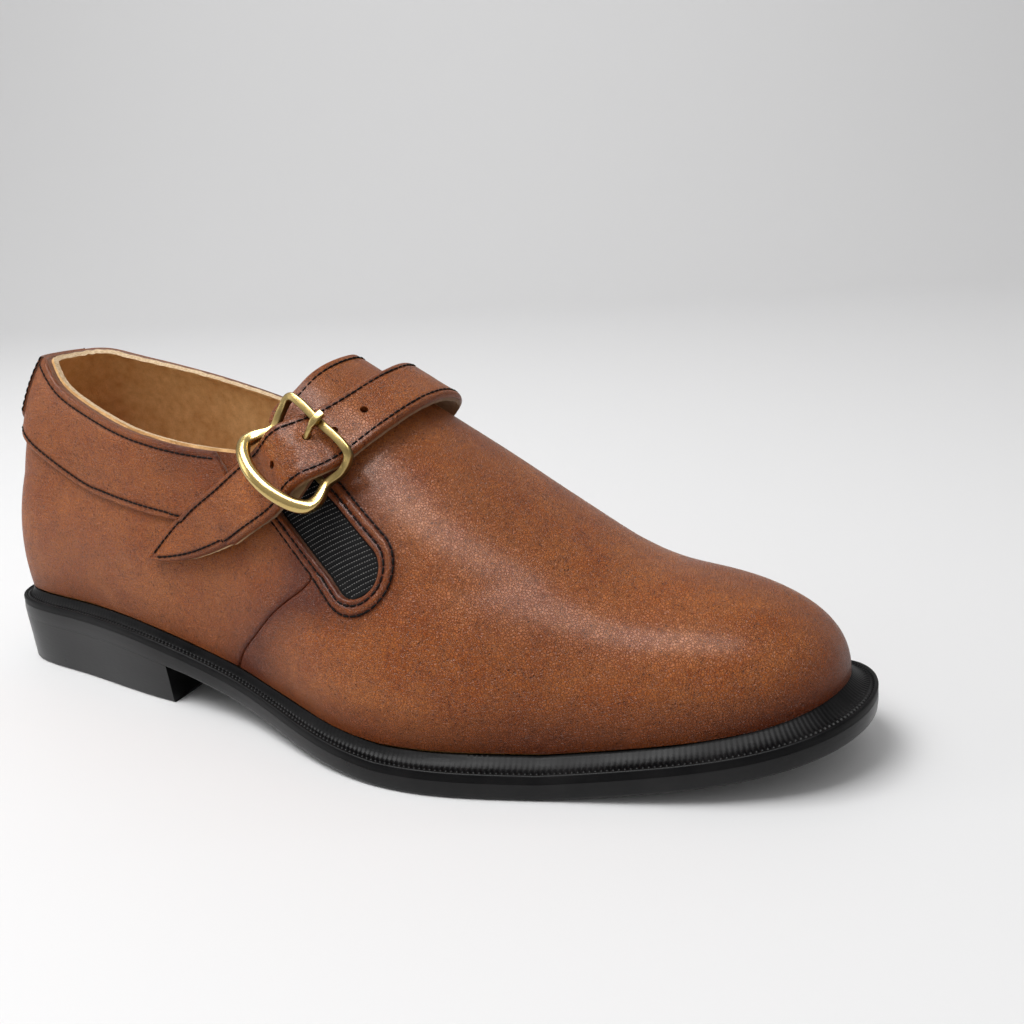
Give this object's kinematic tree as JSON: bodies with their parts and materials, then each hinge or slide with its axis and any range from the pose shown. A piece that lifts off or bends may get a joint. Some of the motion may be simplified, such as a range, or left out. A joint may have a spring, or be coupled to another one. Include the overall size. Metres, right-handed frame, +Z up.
{
  "type": "monk strap shoe",
  "caption": "Low leather shoe with a strap and buckle over the instep, elastic side gores, a welted sole and a low heel.",
  "frame": {"origin": "on the floor, under the centre of the heel's tread", "axes": "+Z up, +X towards the toe, +Y towards the medial side of this right shoe"},
  "size_m": [0.3022, 0.1096, 0.11],
  "materials": {
    "outsole_black": "semi-gloss",
    "heel_black": "semi-gloss",
    "welt_black": "semi-gloss",
    "insole_leather": "matte",
    "upper_leather": "smooth grain, semi-gloss",
    "band_leather": "smooth grain, semi-gloss",
    "tab_leather": "smooth grain, semi-gloss",
    "gore_elastic_lateral": "ribbed elastic",
    "rim_leather_lateral": "smooth grain, semi-gloss",
    "gore_elastic_medial": "ribbed elastic",
    "rim_leather_medial": "smooth grain, semi-gloss",
    "strap_leather": "smooth grain, semi-gloss",
    "chape_leather": "smooth grain, semi-gloss",
    "buckle_brass": "satin, aged",
    "prong_brass": "satin, aged"
  },
  "bodies": {
    "root": {"outsole": "outsole_black", "heel": "heel_black", "welt": "welt_black", "insole": "insole_leather", "upper": "upper_leather", "collar_band": "band_leather", "heel_tab": "tab_leather", "gore_lateral": "gore_elastic_lateral", "gore_rim_lateral": "rim_leather_lateral", "gore_medial": "gore_elastic_medial", "gore_rim_medial": "rim_leather_medial", "strap": "strap_leather", "buckle_chape": "chape_leather", "buckle_frame": "buckle_brass", "buckle_prong": "prong_brass"}
  },
  "joints": []
}
